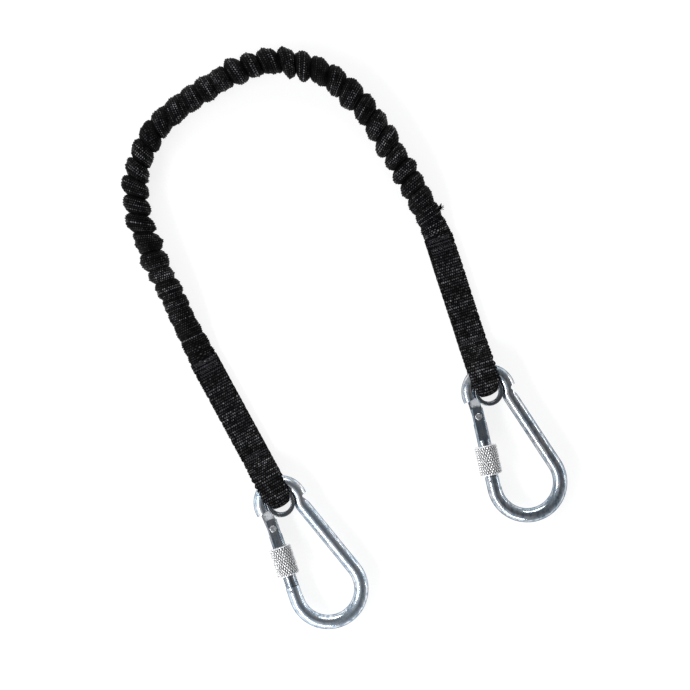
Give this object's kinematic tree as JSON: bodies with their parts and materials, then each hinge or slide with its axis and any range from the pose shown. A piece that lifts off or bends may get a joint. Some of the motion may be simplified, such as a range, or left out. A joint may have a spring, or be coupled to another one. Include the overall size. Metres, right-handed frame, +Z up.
{
  "type": "shock absorbing lanyard",
  "caption": "Elastic webbing tool lanyard with a gathered stretch section, sewn end loops and a screw-lock steel carabiner captive in each loop.",
  "frame": {"origin": "on the surface that the lanyard lies on, under the middle of the box round its two end straps and two carabiners (the gathered stretch between them left out)", "axes": "+Z up from the surface, +Y from the carabiners towards the bend of the gathered stretch, +X from the left carabiner towards the right one"},
  "size_m": [0.2488, 0.3249, 0.0145],
  "materials": {
    "webbing": "woven polyester",
    "rubber_core": "matt",
    "thread": "twisted thread",
    "zinc_plated_wire": "bright zinc",
    "zinc_plated_sheet": "bright zinc",
    "zinc_plated_gate": "bright zinc",
    "steel_pins": "turned",
    "spring_steel": "drawn wire",
    "knurled_zinc": "diamond knurled, matt zinc"
  },
  "bodies": {
    "lanyard": {"gathered_cover": "webbing", "elastic_core": "rubber_core", "left_end_strap": "webbing", "left_lower_bar_tack": "thread", "left_upper_bar_tack": "thread"},
    "right_end": {"right_end_strap": "webbing", "right_lower_bar_tack": "thread", "right_upper_bar_tack": "thread"},
    "left_carabiner": {"left_carabiner_body": "zinc_plated_wire", "left_eye_thimble": "zinc_plated_sheet", "left_latch_pin": "steel_pins"},
    "left_gate": {"left_gate": "zinc_plated_gate", "left_hinge_rivet": "steel_pins", "left_gate_spring": "spring_steel"},
    "left_plunger": {"left_gate_plunger": "steel_pins"},
    "left_sleeve": {"left_lock_sleeve": "knurled_zinc"},
    "right_carabiner": {"right_carabiner_body": "zinc_plated_wire", "right_eye_thimble": "zinc_plated_sheet", "right_latch_pin": "steel_pins"},
    "right_gate": {"right_gate": "zinc_plated_gate", "right_hinge_rivet": "steel_pins", "right_gate_spring": "spring_steel"},
    "right_plunger": {"right_gate_plunger": "steel_pins"},
    "right_sleeve": {"right_lock_sleeve": "knurled_zinc"}
  },
  "joints": [
    {"name": "elastic_stretch", "type": "slide", "parent": "lanyard", "child": "right_end", "axis": [0.309, -0.9511, 0], "range_m": [0, 0.18], "stiffness_N_per_m": 80, "deforming": ["gathered_cover", "elastic_core"]},
    {"name": "left_carabiner_swing", "type": "hinge", "parent": "lanyard", "child": "left_carabiner", "pos_m": [-0.055, -0.0406, 0.0065], "axis": [0, 0, 1], "range_deg": [-45, 45]},
    {"name": "left_gate_hinge", "type": "hinge", "parent": "left_carabiner", "child": "left_gate", "pos_m": [-0.05922, -0.05513, 0.0065], "axis": [0, 0, 1], "range_deg": [0, 32], "stiffness_Nm_per_rad": 0.25, "springref_deg": -20.05},
    {"name": "left_plunger_push", "type": "slide", "parent": "left_gate", "child": "left_plunger", "axis": [0.3165, -0.9486, 0], "range_m": [0, 0.0011], "deforming": ["left_gate_spring"]},
    {"name": "left_sleeve_travel", "type": "slide", "parent": "left_gate", "child": "left_sleeve", "axis": [-0.3165, 0.9486, 0], "range_m": [-0.0095, 0.005]},
    {"name": "right_carabiner_swing", "type": "hinge", "parent": "right_end", "child": "right_carabiner", "pos_m": [0.06135, 0.0216, 0.0065], "axis": [0, 0, 1], "range_deg": [-50, 40]},
    {"name": "right_gate_hinge", "type": "hinge", "parent": "right_carabiner", "child": "right_gate", "pos_m": [0.05568, 0.00757, 0.0065], "axis": [0, 0, 1], "range_deg": [0, 32], "stiffness_Nm_per_rad": 0.25, "springref_deg": -20.05},
    {"name": "right_plunger_push", "type": "slide", "parent": "right_gate", "child": "right_plunger", "axis": [0.219, -0.9757, 0], "range_m": [0, 0.0011], "deforming": ["right_gate_spring"]},
    {"name": "right_sleeve_travel", "type": "slide", "parent": "right_gate", "child": "right_sleeve", "axis": [-0.219, 0.9757, 0], "range_m": [-0.0037, 0.0108]}
  ],
  "couplings": [
    {"joint": "left_plunger_push", "follows": "left_gate_hinge", "m_per_rad": 0.00196},
    {"joint": "right_plunger_push", "follows": "right_gate_hinge", "m_per_rad": 0.00196}
  ]
}
